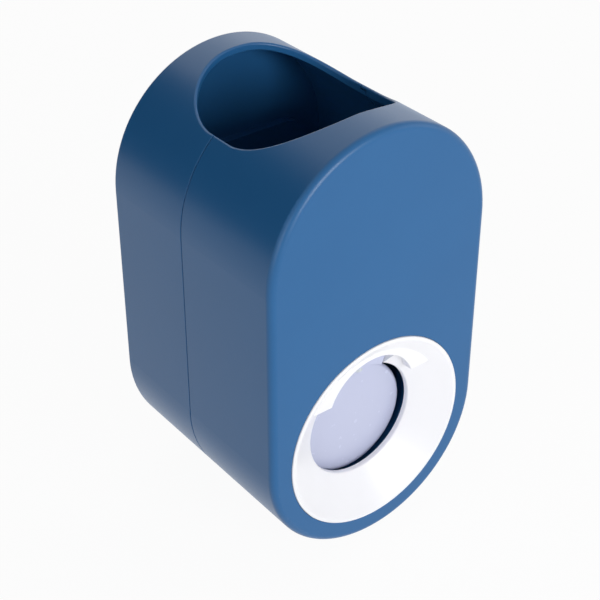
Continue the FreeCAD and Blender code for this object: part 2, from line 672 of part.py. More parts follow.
def make_wall_plate():
    """Plate with two upward hooks."""
    body = new_body("wall_plate", level="0")
    sketch = front_sketch(body, "pad_thick")
    rounded_box(
        sketch, "-plate_half", "plate_half",
        "-plate_half_height", "plate_half_height", "plate_corner",
    )
    pad(body, sketch, "plate_thick")
    round_edges(body, "plate_round", lambda edge: at_depth(edge, "plate_front"))
    for start in ("hook_inner", "-hook_outer"):
        hook = side_sketch(body, start)
        outline(hook, [
            ("-plate_front", "hook_under"), ("-lip_front", "hook_under"), ("-lip_front", "hook_top"),
            ("-lip_back", "hook_top"), ("-lip_back", "hook_rise"), ("-plate_front", "hook_rise"),
        ])
        pad(body, hook, "hook_width")
    return body


# Housing


def make_rear_shell():
    """Rear half of the capsule with the lip, the recess for the wall plate and the posts for the pump."""
    body = new_body("rear_shell")
    outer = front_sketch(body, "wall_gap")
    stadium(outer, "shell_r", "arch_rise")
    pad(body, outer, "rear_depth")
    round_edges(body, "back_round", lambda edge: at_depth(edge, "wall_gap"))
    hollow = front_sketch(body, "back_inner")
    stadium(hollow, "inner_r", "arch_rise")
    cut(body, hollow, "rear_hollow")
    lip = front_sketch(body, "seam")
    stadium(lip, "lip_outer", "arch_rise")
    stadium(lip, "inner_r", "arch_rise")
    pad(body, lip, "lip_height")
    cut_mouth(body)
    round_mouth(body)
    round_edges(body, "seam_round", lambda edge: at_depth(edge, "seam") and on_outside(edge, "shell_r"))
    posts = front_sketch(body, "back_inner")
    each_post(posts, "post_r")
    pad(body, posts, "post_length")
    block = front_sketch(body, "wall_gap")
    rounded_box(block, "-block_half", "block_half", "block_low", "block_high", "block_corner")
    pad(body, block, "block_depth")
    recess = front_sketch(body, "wall_gap")
    rounded_box(recess, "-recess_half", "recess_half", "recess_low", "recess_high", "recess_corner")
    cut(body, recess, "recess_depth")
    slots = front_sketch(body, "recess_floor")
    for side in SIDES:
        low, high = span_x("slot_inner", "slot_outer", side)
        outline(slots, [(low, "slot_low"), (high, "slot_low"), (high, "slot_high"), (low, "slot_high")])
    cut(body, slots, "floor_wall")
    pilots = front_sketch(body, "pilot_end")
    each_post(pilots, "screw_r")
    cut(body, pilots, "pilot_length")
    return body


def each_post(sketch, radius):
    """A circle at each of the four posts."""
    for across in SIDES:
        for along in SIDES:
            circle(sketch, across + "post_x", along + "post_z", radius)


def make_front_shell():
    """Front half of the capsule with the dish and the collar of the brush port."""
    body = new_body("front_shell")
    outer = front_sketch(body, "front_start")
    stadium(outer, "shell_r", "arch_rise")
    pad(body, outer, "front_length")
    round_edges(body, "front_round", lambda edge: at_depth(edge, "front_plane"))
    hollow = front_sketch(body, "front_start")
    stadium(hollow, "inner_r", "arch_rise")
    cut(body, hollow, "front_hollow")
    groove = front_sketch(body, "front_start")
    stadium(groove, "groove_r", "arch_rise")
    cut(body, groove, "groove_length")
    cut_mouth(body)
    round_mouth(body)
    round_edges(
        body, "seam_round",
        lambda edge: at_depth(edge, "front_start") and on_outside(edge, "shell_r"),
    )
    dish = side_sketch(body)
    outline(dish, [
        ("-ring_seat", "0"), ("-ring_seat", "boss_r"), ("-boss_back", "boss_r"),
        ("-dish_under", "collar_outer"), ("-collar_back", "collar_outer"), ("-collar_back", "0"),
    ])
    turn(body, dish, "H_Axis")
    port = side_sketch(body)
    outline(port, [
        ("-ring_top", "0"), ("-ring_top", "seat_hole_r"), ("-ring_seat", "seat_hole_r"),
        ("-ring_seat", "neck_hole_r"), ("-dish_edge", "collar_r"), ("-shoulder", "collar_r"),
        ("-shoulder", "0"),
    ])
    turn_out(body, port, "H_Axis")
    for level in ("tab_level", "tab_upper"):
        for side in SIDES:
            tab = plan_sketch(body, level)
            outline(tab, [
                (side + "tab_inner", "-tab_tip"), (side + "tab_outer", "-tab_tip"),
                (side + "tab_outer", "-tab_join"), (side + "tab_bury", "-tab_join"),
                (side + "tab_bury", "-tab_end"), (side + "tab_inner", "-tab_end"),
            ])
            pad(body, tab, "tab_width")
    return body


def on_dish(edge):
    """True for an edge that runs round the port axis."""
    return edge.Curve.TypeId == "Part::GeomCircle" and abs(edge.Curve.Center.z) < NEAR


def make_port_ring():
    """Dished ring with a notch for the outlet hood and a brow over it."""
    body = new_body("port_ring")
    brow = front_sketch(body, "ring_back")
    outline(brow, [
        ("-ring_outer_r", "brow_end"), ("ring_outer_r", "brow_end"), ("ring_outer_r", "ring_outer_r"),
        ("-ring_outer_r", "ring_outer_r"),
    ])
    pad(body, brow, "brow_length")
    arch = front_sketch(body, "ring_back")
    circle(arch, "0", "brow_level", "brow_arch_r")
    cut(body, arch, "brow_length")
    waste = side_sketch(body)
    outline(waste, [
        ("-shoulder", "port_r"), ("-brow_root", "port_r"), ("-brow_seat", "brow_r"), ("-ring_top", "brow_r"),
        ("-ring_top", "body_width"), ("-shoulder", "body_width"),
    ])
    turn_out(body, waste, "H_Axis")
    profile = side_sketch(body)
    outline(profile, [
        ("-ring_seat", "ring_outer_r"), ("-ring_top", "ring_outer_r"), ("-ring_top", "ring_land_r"),
        ("-port_edge", "port_r"), ("-ring_back", "port_r"), ("-ring_back", "ring_edge_r"),
        ("-ring_seat", "ring_neck_r"),
    ])
    turn(body, profile, "H_Axis")
    round_edges(body, "brow_round", lambda edge: at_depth(edge, "brow_front") and not on_dish(edge))
    round_edges(body, "ring_round", lambda edge: at_depth(edge, "ring_top"))
    round_edges(body, "port_round", lambda edge: at_depth(edge, "port_edge"))
    notch = front_sketch(body, "shoulder")
    sector(notch, "notch_r", "notch_angle")
    cut(body, notch, "front_length")
    return body


# Pump, fixed pieces


def make_pump_body():
    """Bracket, barrel, spring seat and inlet tower in one moulding."""
    body = new_body("pump_body")
    bracket = front_sketch(body, "bracket_back")
    rounded_box(
        bracket, "-bracket_half", "bracket_half",
        "-bracket_half_height", "bracket_half_height", "bracket_corner",
    )
    pad(body, bracket, "bracket_thick")
    barrel = front_sketch(body, "bracket_front")
    circle(barrel, "0", "0", "barrel_r")
    pad(body, barrel, "barrel_length")
    ribs = front_sketch(body, "bracket_front")
    outline(ribs, [
        ("-rib_reach", "rib_half"), ("-rib_reach", "-rib_half"), ("-rib_half", "-rib_half"),
        ("-rib_half", "-rib_drop"), ("rib_half", "-rib_drop"), ("rib_half", "-rib_half"),
        ("rib_reach", "-rib_half"), ("rib_reach", "rib_half"),
    ])
    pad(body, ribs, "rib_rise")
    seat = front_sketch(body, "seat_back")
    circle(seat, "0", "0", "seat_r")
    pad(body, seat, "seat_thick")
    tower = plan_sketch(body)
    circle(tower, "0", "-tower_mid", "tower_r")
    pad(body, tower, "cup_floor")
    cup = plan_sketch(body, "cup_base")
    circle(cup, "0", "-tower_mid", "cup_r")
    pad(body, cup, "cup_height")
    hollow = plan_sketch(body, "cup_floor")
    circle(hollow, "0", "-tower_mid", "cup_inner_r")
    cut(body, hollow, "cup_hollow")
    bore = front_sketch(body, "bore_end")
    circle(bore, "0", "0", "bore_r")
    cut(body, bore, "bore_length")
    inlet = plan_sketch(body)
    circle(inlet, "0", "-tower_mid", "inlet_r")
    cut(body, inlet, "cup_floor")
    holes = front_sketch(body, "bracket_back")
    each_post(holes, "screw_hole_r")
    cut(body, holes, "bracket_thick")
    return body


def make_pump_screws():
    """Four self-tapping screws through the bracket into the posts."""
    body = new_body("pump_screws")
    shanks = front_sketch(body, "screw_end")
    each_post(shanks, "screw_r")
    pad(body, shanks, "screw_length")
    heads = front_sketch(body, "bracket_front")
    each_post(heads, "screw_head_r")
    pad(body, heads, "screw_head")
    return body


def turned_piece(label, points):
    """Piece turned about the port axis, from (depth, radius) cell names."""
    body = new_body(label)
    profile = side_sketch(body)
    outline(profile, [("-" + depth, radius) for depth, radius in points])
    turn(body, profile, "H_Axis")
    return body


def ring_of(body, feature, count):
    """Repeat a feature evenly round the body's own upright axis."""
    pattern = body.newObject("PartDesign::PolarPattern", body.Label + "_ring")
    pattern.Originals = [feature]
    pattern.Axis = ([item for item in body.Origin.OriginFeatures if item.Role == "Z_Axis"][0], [""])
    pattern.Angle = 360
    pattern.setExpression("Occurrences", cell(count))
    body.Tip = pattern
    doc.recompute()
    return pattern


def tower_piece(label, points):
    """Piece turned about the inlet tower's axis, from (radius, height) cell names."""
    body = new_body(label, depth="tower_mid")
    profile = front_sketch(body)
    outline(profile, points)
    turn(body, profile, "V_Axis")
    return body


def make_barrel_bush():
    return turned_piece("barrel_bush", [
        ("shoulder", "bush_bore_r"), ("shoulder", "bore_r"), ("bush_seat", "bore_r"),
        ("bush_seat", "barrel_r"), ("bush_front", "barrel_r"), ("bush_front", "bush_bore_r"),
        ("gland_front", "bush_bore_r"), ("gland_front", "gland_r"), ("gland_back", "gland_r"),
        ("gland_back", "bush_bore_r"),
    ])


def make_bush_gasket():
    return turned_piece("bush_gasket", [
        ("barrel_front", "bore_r"), ("barrel_front", "barrel_r"), ("bush_seat", "barrel_r"),
        ("bush_seat", "bore_r"),
    ])


def make_ring_seal(label, radius, wire, depth):
    """Ring of round section about the port axis."""
    ring = doc.addObject("Part::Torus", label)
    ring.Label = label
    ring.setExpression("Radius1", cell(radius))
    ring.setExpression("Radius2", cell(wire) + " / 2")
    ring.Placement = FreeCAD.Placement(FreeCAD.Vector(), FreeCAD.Rotation(FreeCAD.Vector(1, 0, 0), 90))
    ring.setExpression("Placement.Base.y", "-" + cell(depth))
    ring.setExpression("Placement.Base.z", "-" + cell("plate_rise"))
    return ring


def make_inlet_valve():
    return tower_piece("inlet_valve", [
        ("inlet_hollow_r", "flange_top"), ("inlet_flange_r", "flange_top"), ("inlet_flange_r", "cup_floor"),
        ("inlet_neck_r", "cup_floor"), ("beak_tip_r", "beak_low"), ("0", "beak_low"), ("0", "beak_floor"),
        ("beak_hollow_r", "beak_floor"),
    ])


def make_valve_cage():
    return tower_piece("valve_cage", [
        ("throat_r", "flange_top"), ("cage_lip_r", "flange_top"), ("cage_lip_r", "cup_floor"),
        ("cup_content_r", "cup_floor"), ("cup_content_r", "cage_top"), ("throat_r", "cage_top"),
    ])


def make_tube_socket():
    return tower_piece("tube_socket", [
        ("throat_r", "cage_top"), ("cup_content_r", "cage_top"), ("cup_content_r", "clamp_level"),
        ("socket_r", "clamp_level"), ("socket_r", "socket_top"), ("mouth_bevel_r", "socket_top"),
        ("neck_bore_r", "mouth_bevel"), ("neck_bore_r", "throat_top"), ("throat_r", "throat_top"),
    ])


def make_socket_collar():
    """Screw collar with grip flutes round its side."""
    body = tower_piece("socket_collar", [
        ("thread_r", "collar_low"), ("screw_collar_r", "collar_low"), ("screw_collar_r", "collar_high"),
        ("collar_hole_r", "collar_high"), ("collar_hole_r", "clamp_level"), ("thread_r", "clamp_level"),
    ])
    flute = plan_sketch(body, "collar_low")
    circle(flute, "grip_place", "0", "grip_r")
    ring_of(body, cut(body, flute, "collar_height"), "grip_count")
    return body


# Pump, moving pieces


def make_push_head():
    """Push plate with the outlet hood and the paste ducts."""
    body = new_body("push_head")
    plate = front_sketch(body, "head_back")
    circle(plate, "0", "-head_drop", "head_r")
    pad(body, plate, "head_thick")
    round_edges(body, "head_round", lambda edge: at_depth(edge, "head_front"))
    hood = front_sketch(body, "head_back")
    sector(hood, "hood_r", "hood_angle")
    pad(body, hood, "hood_length")
    arch = front_sketch(body, "head_front")
    circle(arch, "0", "arch_level", "hood_arch_r")
    cut(body, arch, "arch_length")
    seat = front_sketch(body, "head_back")
    circle(seat, "0", "0", "stem_r")
    cut(body, seat, "socket_depth")
    rise = plan_sketch(body)
    circle(rise, "0", "-duct_depth", "duct_r")
    cut(body, rise, "duct_rise")
    run = front_sketch(body, "duct_depth")
    circle(run, "0", "duct_rise", "duct_r")
    cut(body, run, "duct_run")
    leave = plan_sketch(body, "tip_low")
    circle(leave, "0", "-tip_depth", "tip_bore_r")
    cut(body, leave, "exit_length")
    tip_hole = plan_sketch(body, "tip_low")
    circle(tip_hole, "0", "-tip_depth", "tip_r")
    cut(body, tip_hole, "tip_length")
    return body


def make_nozzle_tip():
    body = new_body("nozzle_tip")
    sketch = plan_sketch(body, "tip_low")
    for radius in ("tip_r", "tip_bore_r"):
        circle(sketch, "0", "-tip_depth", radius)
    pad(body, sketch, "tip_length")
    return body


def make_piston():
    """Hollow stem and piston; a side hole at its front end leads into the push plate's duct."""
    body = turned_piece("piston", [
        ("stem_end", "stem_bore_r"), ("stem_end", "stem_r"), ("shoulder", "stem_r"), ("shoulder", "piston_r"),
        ("seal_groove_front", "piston_r"), ("seal_groove_front", "seal_groove_r"),
        ("seal_groove_back", "seal_groove_r"), ("seal_groove_back", "piston_r"), ("piston_back", "piston_r"),
        ("piston_back", "outlet_flange_r"), ("valve_seat", "outlet_flange_r"), ("valve_seat", "stem_bore_r"),
    ])
    side_hole = plan_sketch(body)
    circle(side_hole, "0", "-duct_depth", "duct_r")
    cut(body, side_hole, "bore_r")
    return body


def make_outlet_valve():
    return turned_piece("outlet_valve", [
        ("piston_back", "outlet_hollow_r"), ("piston_back", "outlet_flange_r"),
        ("valve_seat", "outlet_flange_r"), ("valve_seat", "outlet_neck_r"),
        ("beak_front", "beak_tip_r"), ("beak_front", "0"),
        ("beak_hollow", "0"), ("beak_hollow", "beak_hollow_r"),
    ])


def coil_point(turns):
    """Point and direction of the spring's middle line after so many turns."""
    radius, wire = value("coil_r"), value("wire")
    run = value("head_back") - value("seat_front") - wire
    angle = 2 * math.pi * turns
    share = turns / value("coil_turns")
    depth = value("seat_front") + wire / 2 + run * share
    place = FreeCAD.Vector(radius * math.cos(angle), -depth, radius * math.sin(angle))
    speed = 2 * math.pi * radius
    ahead = FreeCAD.Vector(-speed * math.sin(angle), -run / value("coil_turns"), speed * math.cos(angle))
    return place, ahead.normalize()


def arc_between(start, corner, stop):
    """Arc that leaves start towards corner and ends in stop, coming from corner."""
    half = (corner - start).getAngle(stop - corner) / 2
    weight = math.cos(half)
    middle = (start + corner * (2 * weight) + stop) * (1 / (2 + 2 * weight))
    return Part.Arc(start, middle, stop).toShape()


def biarc(one, other):
    """Two arcs that join two points and keep both directions."""
    (start, leave), (stop, arrive) = one, other
    chord = stop - start
    both = leave + arrive
    bend = 2 * (1 - leave.dot(arrive))
    reach = (-chord.dot(both) + math.sqrt(chord.dot(both) ** 2 + bend * chord.dot(chord))) / bend
    first, second = start + leave * reach, stop - arrive * reach
    middle = (first + second) * 0.5
    return [arc_between(start, first, middle), arc_between(middle, second, stop)]


def make_return_spring():
    """Compression spring from the barrel's seat to the back of the push plate."""
    steps = int(round(4 * value("coil_turns")))
    points = [coil_point(value("coil_turns") * i / steps) for i in range(steps + 1)]
    edges = []
    for one, other in zip(points, points[1:]):
        edges += biarc(one, other)
    start, ahead = points[0]
    section = Part.Wire([Part.makeCircle(value("wire") / 2, start, ahead)])
    solid = Part.Wire(edges).makePipeShell([section], True, False)
    spring = doc.addObject("Part::Feature", "return_spring")
    spring.Label = "return_spring"
    spring.Shape = solid
    spring.setExpression("Placement.Base.z", "-" + cell("plate_rise"))
    print("return_spring: gap between turns %.2f mm" % coil_gap(points))
    return spring


def coil_gap(points):
    """Least room between one turn of the spring and the next."""
    turn_steps = int(round((len(points) - 1) / value("coil_turns")))
    pairs = zip(points, points[turn_steps:])
    return min((far[0] - near[0]).Length for near, far in pairs) - value("wire")


def check(piece):
    """Stop on a piece that failed or is no valid solid."""
    for item in doc.Objects:
        if "Invalid" in item.State or "Error" in item.State:
            raise RuntimeError("%s failed: %s" % (item.Label, item.State))
    if piece.Shape.isNull() or not piece.Shape.isValid() or not piece.Shape.Solids:
        raise RuntimeError("%s has no valid solid" % piece.Label)


def main():
    fill_sheet()
    pieces = [
        make_adhesive_pad(), make_wall_plate(), make_rear_shell(), make_front_shell(), make_port_ring(),
        make_pump_body(), make_pump_screws(), make_barrel_bush(), make_bush_gasket(), make_inlet_valve(),
        make_valve_cage(), make_tube_socket(), make_socket_collar(), make_push_head(), make_nozzle_tip(),
        make_piston(), make_outlet_valve(), make_return_spring(),
        make_ring_seal("piston_seal", "seal_ring_r", "seal_wire", "seal_mid"),
        make_ring_seal("stem_seal", "gland_ring_r", "gland_wire", "gland_mid"),
    ]
    doc.recompute()
    for piece in pieces:
        check(piece)
    os.makedirs("parts", exist_ok=True)
    for piece in pieces:
        piece.Shape.exportStep("parts/%s.step" % piece.Label)
        print("%s: %.0f mm3, %d solids" % (piece.Label, piece.Shape.Volume, len(piece.Shape.Solids)))


main()
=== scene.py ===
"""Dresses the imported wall-hung toothpaste dispenser with its finishes, its fine pieces and a studio.

Sizes in the classes are millimetres in the part's own frame: X to the right, Y towards the wall, Z up,
with the origin in the middle of the adhesive pad on the wall. A depth is a distance in front of the wall
and a level is a height over the port's axis. Metres appear only where a mesh or a lamp is placed.
"""

import logging
import math
from dataclasses import dataclass, field
from enum import Enum
from typing import Any, ClassVar, Sequence

import bpy
from mathutils import Matrix, Vector


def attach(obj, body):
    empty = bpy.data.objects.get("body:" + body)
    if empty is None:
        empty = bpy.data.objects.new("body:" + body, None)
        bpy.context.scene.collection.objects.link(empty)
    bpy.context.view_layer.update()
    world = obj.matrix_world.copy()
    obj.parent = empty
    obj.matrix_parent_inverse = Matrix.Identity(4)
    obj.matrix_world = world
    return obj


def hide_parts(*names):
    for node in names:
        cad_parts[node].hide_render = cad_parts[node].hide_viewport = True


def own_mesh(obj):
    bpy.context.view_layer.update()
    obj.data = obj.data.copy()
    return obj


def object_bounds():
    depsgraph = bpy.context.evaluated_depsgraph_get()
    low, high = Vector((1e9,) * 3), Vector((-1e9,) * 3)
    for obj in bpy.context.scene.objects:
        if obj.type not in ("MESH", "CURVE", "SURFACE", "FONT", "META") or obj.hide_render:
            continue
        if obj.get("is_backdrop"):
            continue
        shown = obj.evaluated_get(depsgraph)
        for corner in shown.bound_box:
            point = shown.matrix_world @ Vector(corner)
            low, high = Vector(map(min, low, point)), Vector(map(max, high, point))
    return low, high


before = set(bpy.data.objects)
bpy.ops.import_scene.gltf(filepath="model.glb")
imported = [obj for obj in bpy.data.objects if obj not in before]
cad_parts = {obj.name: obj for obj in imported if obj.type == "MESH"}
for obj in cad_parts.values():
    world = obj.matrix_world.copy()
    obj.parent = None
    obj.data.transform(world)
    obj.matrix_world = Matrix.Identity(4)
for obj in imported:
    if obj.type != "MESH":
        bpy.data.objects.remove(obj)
CAD_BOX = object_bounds()

LOG = logging.getLogger("dispenser")
MM = 0.001
IMAGE_SIDE_PX = 600
SENSOR_MM = 36.0
CLIP_START_M = 0.01
PORT_AXIS_Z = -44.0
TOWER_Y = -39.5
SHARP_ANGLE = math.radians(35)
# Share of a side that the rounding at one of its ends may take
CORNER_SHARE = 0.45
# White plastics scatter all colours alike
NEUTRAL_SCATTER = (1.0, 1.0, 1.0)
WHITE = "#FFFFFF"

Ring = list[Vector]
Profile = list[tuple[float, float]]


class Facing(Enum):
    """Axis that a turned piece runs along."""

    FRONT = "front"
    UP = "up"

    def place(self, radius: float, angle: float, along: float) -> Vector:
        """Place a point of a turned piece.

        Args:
            radius: Distance from the axis.
            angle: Turn about the axis, in radians.
            along: Depth for a piece that faces front, level for one that faces up.

        Returns:
            The point in the part's frame.
        """
        across, other = radius * math.cos(angle), radius * math.sin(angle)
        if self is Facing.FRONT:
            return Vector((across, -along, PORT_AXIS_Z + other))
        return Vector((across, TOWER_Y + other, PORT_AXIS_Z + along))


def linear(code: str) -> tuple[float, float, float, float]:
    """Turn an sRGB hex colour into linear RGBA.

    Args:
        code: Colour as six hex digits after a hash.

    Returns:
        Linear red, green, blue and an alpha of one.
    """
    shares = [int(code[i:i + 2], 16) / 255 for i in (1, 3, 5)]
    red, green, blue = (s / 12.92 if s <= 0.04045 else ((s + 0.055) / 1.055) ** 2.4 for s in shares)
    return red, green, blue, 1.0


def per_metre(size_mm: float) -> float:
    """Texture scale whose pattern repeats about every size_mm."""
    return 1.0 / (size_mm * MM)


def add_node(
    tree: bpy.types.NodeTree,
    kind: str,
    settings: dict[Any, Any] | None = None,
    links: dict[Any, bpy.types.NodeSocket] | None = None,
) -> bpy.types.Node:
    """Add a node with its settings and links.

    Args:
        tree: Node tree of a material or of the world.
        kind: Blender's name of the node type.
        settings: Value by option name, by input name or by input number, options first.
        links: Source socket by input name or number.

    Returns:
        The new node.
    """
    node = tree.nodes.new(kind)
    for name, value in (settings or {}).items():
        if isinstance(name, str) and hasattr(node, name):
            setattr(node, name, value)
        else:
            node.inputs[name].default_value = value
    for name, source in (links or {}).items():
        tree.links.new(source, node.inputs[name])
    return node


@dataclass(frozen=True)
class Finish:
    """A real material and the surface its making leaves: two close colours, a sheen and a relief."""

    name: str
    slot: str
    colour: str
    shade: str
    roughness: float
    roughness_spread: float = 0.04
    mottle_mm: float = 22.0
    mottle_detail: float = 3.0
    grain_mm: float = 0.6
    grain_detail: float = 2.0
    relief_mm: float = 0.012
    ior: float = 1.5
    metallic: float = 0.0
    subsurface: float = 0.0
    subsurface_mm: float = 1.0

    def material(self) -> bpy.types.Material:
        """The finish's material, made the first time it is asked for."""
        return bpy.data.materials.get(self.name) or self.build()

    def relief(self, tree: bpy.types.NodeTree, place: bpy.types.NodeSocket) -> bpy.types.NodeSocket:
        """Height of the fine relief.

        Args:
            tree: Node tree of the material.
            place: Socket with the point on the piece.

        Returns:
            Socket with a height from 0 to 1.
        """
        pattern = {"Scale": per_metre(self.grain_mm), "Detail": self.grain_detail}
        return add_node(tree, "ShaderNodeTexNoise", pattern, {"Vector": place}).outputs[0]

    def build(self) -> bpy.types.Material:
        """Make the material.

        Returns:
            The new material with its mottled colour, uneven sheen and relief.
        """
        material = bpy.data.materials.new(self.name)
        material.use_nodes = True
        tree = material.node_tree
        tree.nodes.clear()
        point = add_node(tree, "ShaderNodeTexCoord").outputs["Object"]
        clouds = {"Scale": per_metre(self.mottle_mm), "Detail": self.mottle_detail}
        mottle = add_node(tree, "ShaderNodeTexNoise", clouds, {"Vector": point}).outputs[0]
        # A colour Mix takes its share at input 0 and its colours at 6 and 7, and gives its colour at 2
        tones = {"data_type": "RGBA", 6: linear(self.colour), 7: linear(self.shade)}
        colour = add_node(tree, "ShaderNodeMix", tones, {0: mottle}).outputs[2]
        height = self.relief(tree, point)
        low, high = self.roughness - self.roughness_spread, self.roughness + self.roughness_spread
        spread = {"To Min": low, "To Max": high}
        sheen = add_node(tree, "ShaderNodeMapRange", spread, {"Value": height}).outputs[0]
        depth = {"Distance": self.relief_mm * MM}
        normal = add_node(tree, "ShaderNodeBump", depth, {"Height": height}).outputs[0]
        shader = add_node(
            tree,
            "ShaderNodeBsdfPrincipled",
            {
                "IOR": self.ior,
                "Metallic": self.metallic,
                "Subsurface Weight": self.subsurface,
                "Subsurface Scale": self.subsurface_mm * MM,
                "Subsurface Radius": NEUTRAL_SCATTER,
            },
            {"Base Color": colour, "Roughness": sheen, "Normal": normal},
        )
        add_node(tree, "ShaderNodeOutputMaterial", links={"Surface": shader.outputs[0]})
        return material


@dataclass(frozen=True)
class CellFinish(Finish):
    """A finish whose relief is a field of cells, such as foam or plated crystals."""

    def relief(self, tree: bpy.types.NodeTree, place: bpy.types.NodeSocket) -> bpy.types.NodeSocket:
        """Height of the cells.

        Args:
            tree: Node tree of the material.
            place: Socket with the point on the piece.

        Returns:
            Socket with a height from 0 to 1.
        """
        pattern = {"Scale": per_metre(self.grain_mm)}
        return add_node(tree, "ShaderNodeTexVoronoi", pattern, {"Vector": place}).outputs["Distance"]


class Finishes(Enum):
    """Every finish of the dispenser."""

    # Moulded ABS from a spark-eroded tool: even navy with a satin sheen and edges that catch soft light.
    # The real grain is about a tenth of a millimetre, drawn coarser here so that it shows
    SHELL = Finish(
        "navy_abs_spark_textured", "shell", "#266196", "#28659B",
        roughness=0.32, ior=1.38, grain_mm=0.7, relief_mm=0.006,
    )
    # Moulded ABS from a polished tool: clean cool white with a clear gloss and a barely wavy surface
    WHITE_GLOSS = Finish(
        "white_abs_polished", "white_gloss", "#F8F8FB", "#F6F6FA",
        roughness=0.32, ior=1.5, grain_mm=3.0, relief_mm=0.004,
    )
    # The same polished ABS as the ring, painted darker and bluer: painted shade for the shade that falls
    # on the push plate deep in the port
    PAINTED_SHADE_WHITE = Finish(
        "white_abs_polished_painted_shade", "white_gloss", "#C4C9E2", "#C1C6E0",
        roughness=0.26, ior=1.5, grain_mm=3.0, relief_mm=0.004,
    )
    # Moulded polypropylene: milky, waxy and slightly see-through at thin walls.
    # Its grain is drawn coarser than the tool's, so that it shows
    WHITE_SATIN = Finish(
        "natural_polypropylene_moulded", "white_satin", "#E2E4E6", "#D8DBDF",
        roughness=0.42, ior=1.49, subsurface=0.2, subsurface_mm=1.2, grain_mm=0.9, relief_mm=0.01,
    )
    # Moulded silicone: soft grey-white that light enters, with a dull bloom.
    # The bloom is drawn coarser than it is, so that it shows
    SILICONE = Finish(
        "silicone_rubber_moulded", "silicone", "#CDD3DA", "#C1C8D0",
        roughness=0.5, ior=1.41, subsurface=0.4, subsurface_mm=2.0, grain_mm=0.8, relief_mm=0.015,
    )
    # Drawn stainless wire: bright grey, uneven from the drawing, which is far finer on the real wire
    SPRING_STEEL = Finish(
        "stainless_spring_wire_drawn", "spring_steel", "#B9BBBD", "#A9ABAE",
        roughness=0.28, metallic=1.0, grain_mm=0.3, relief_mm=0.004,
    )
    # Zinc-plated steel: cool grey with a faint pattern of crystals of about half a millimetre
    ZINC_STEEL = CellFinish(
        "zinc_plated_steel", "zinc_steel", "#C2C6CB", "#AEB5BE",
        roughness=0.32, metallic=1.0, grain_mm=0.5, relief_mm=0.004,
    )
    # Moulded ABS left in its pale grey: satin, with an even grain drawn coarser so that it shows
    PLATE_PLASTIC = Finish(
        "pale_grey_abs_moulded", "plate_plastic", "#B6BCC4", "#AEB4BD",
        roughness=0.45, ior=1.54, grain_mm=0.7, relief_mm=0.01,
    )
    # Die-cut polyethylene foam tape: dull white with small closed cells
    FOAM = CellFinish(
        "polyethylene_foam_die_cut", "foam", "#E6E6E2", "#D6D6D0",
        roughness=0.9, ior=1.5, grain_mm=0.7, relief_mm=0.12,
    )


@dataclass
class Loft:
    """Closed surface through rings of equally many points, in millimetres."""

    rings: list[Ring]
    looped: bool = False

    def mesh(self, name: str) -> bpy.types.Mesh:
        """Make the mesh.

        Args:
            name: Name of the mesh.

        Returns:
            A mesh in millimetres, with both ends closed unless the rings form a loop.
        """
        count = len(self.rings[0])
        verts = [point for ring in self.rings for point in ring]
        pairs = list(zip(range(len(self.rings) - 1), range(1, len(self.rings))))
        if self.looped:
            pairs.append((len(self.rings) - 1, 0))
        faces: list[Sequence[int]] = []
        for low, high in pairs:
            for i in range(count):
                after = (i + 1) % count
                near, far = low * count, high * count
                faces.append((near + i, near + after, far + after, far + i))
        if not self.looped:
            faces.append(tuple(reversed(range(count))))
            faces.append(tuple(range((len(self.rings) - 1) * count, len(self.rings) * count)))
        mesh = bpy.data.meshes.new(name)
        mesh.from_pydata(verts, [], faces)
        mesh.validate()
        return mesh


def turned(profile: Profile, facing: Facing, segments: int = 96) -> Loft:
    """Turn a closed profile about the port axis or the tower axis.

    Args:
        profile: Corners as (radius, place along the axis).
        facing: Axis of the piece.
        segments: Steps round the axis.

    Returns:
        The turned form, looped round the axis.
    """
    rings = []
    for step in range(segments):
        angle = 2 * math.pi * step / segments
        rings.append([facing.place(radius, angle, along) for radius, along in profile])
    return Loft(rings, looped=True)


def eased(profile: Profile, radius: float, steps: int = 4) -> Profile:
    """Round every corner of a closed profile.

    Args:
        profile: Corners in order.
        radius: Distance from a corner at which its rounding starts, less where a side is short.
        steps: Points of one rounding less one.

    Returns:
        The profile with a short curve at each corner.
    """
    corners = [Vector(point) for point in profile]
    result = []
    for i, corner in enumerate(corners):
        before, after = corners[i - 1] - corner, corners[(i + 1) % len(corners)] - corner
        reach = min(radius, before.length * CORNER_SHARE, after.length * CORNER_SHARE)
        start, stop = corner + before.normalized() * reach, corner + after.normalized() * reach
        for step in range(steps + 1):
            t = step / steps
            point = start * (1 - t) ** 2 + corner * (2 * t * (1 - t)) + stop * t ** 2
            result.append((point.x, point.y))
    return result


def joined(name: str, parts: Sequence[tuple[bpy.types.Mesh, Matrix]]) -> bpy.types.Mesh:
    """Join placed meshes into one.

    Args:
        name: Name of the new mesh.
        parts: Meshes with where each stands.

    Returns:
        One mesh with all of them.
    """
    verts: list[Vector] = []
    faces: list[list[int]] = []
    for mesh, place in parts:
        first = len(verts)
        verts += [place @ vertex.co for vertex in mesh.vertices]
        faces += [[first + i for i in polygon.vertices] for polygon in mesh.polygons]
    made = bpy.data.meshes.new(name)
    made.from_pydata(verts, [], faces)
    made.validate()
    return made


